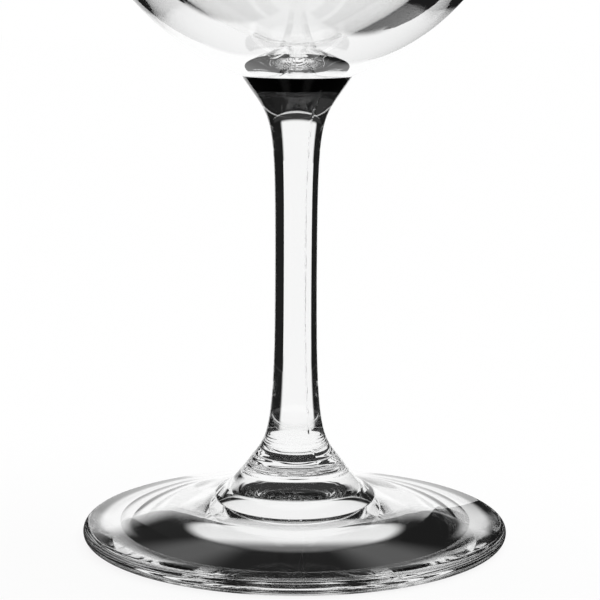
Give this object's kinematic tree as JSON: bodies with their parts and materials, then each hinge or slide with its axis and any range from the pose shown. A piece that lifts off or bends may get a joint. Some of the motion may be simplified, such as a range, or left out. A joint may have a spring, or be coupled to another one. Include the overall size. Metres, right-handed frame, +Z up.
{
  "type": "white wine glass",
  "caption": "Stemmed glass with a tall egg-shaped bowl that narrows to the mouth, a slim flared stem and a round foot, for serving white wine.",
  "frame": {"origin": "centre of the foot, on the surface that the glass stands on", "axes": "+Z up along the stem, towards the mouth of the bowl; X and Y are alike, because the glass is round"},
  "size_m": [0.076, 0.076, 0.193],
  "materials": {
    "clear_glass": "clear, fire-polished"
  },
  "bodies": {
    "root": {"foot": "clear_glass", "stem": "clear_glass", "bowl": "clear_glass"}
  },
  "joints": []
}
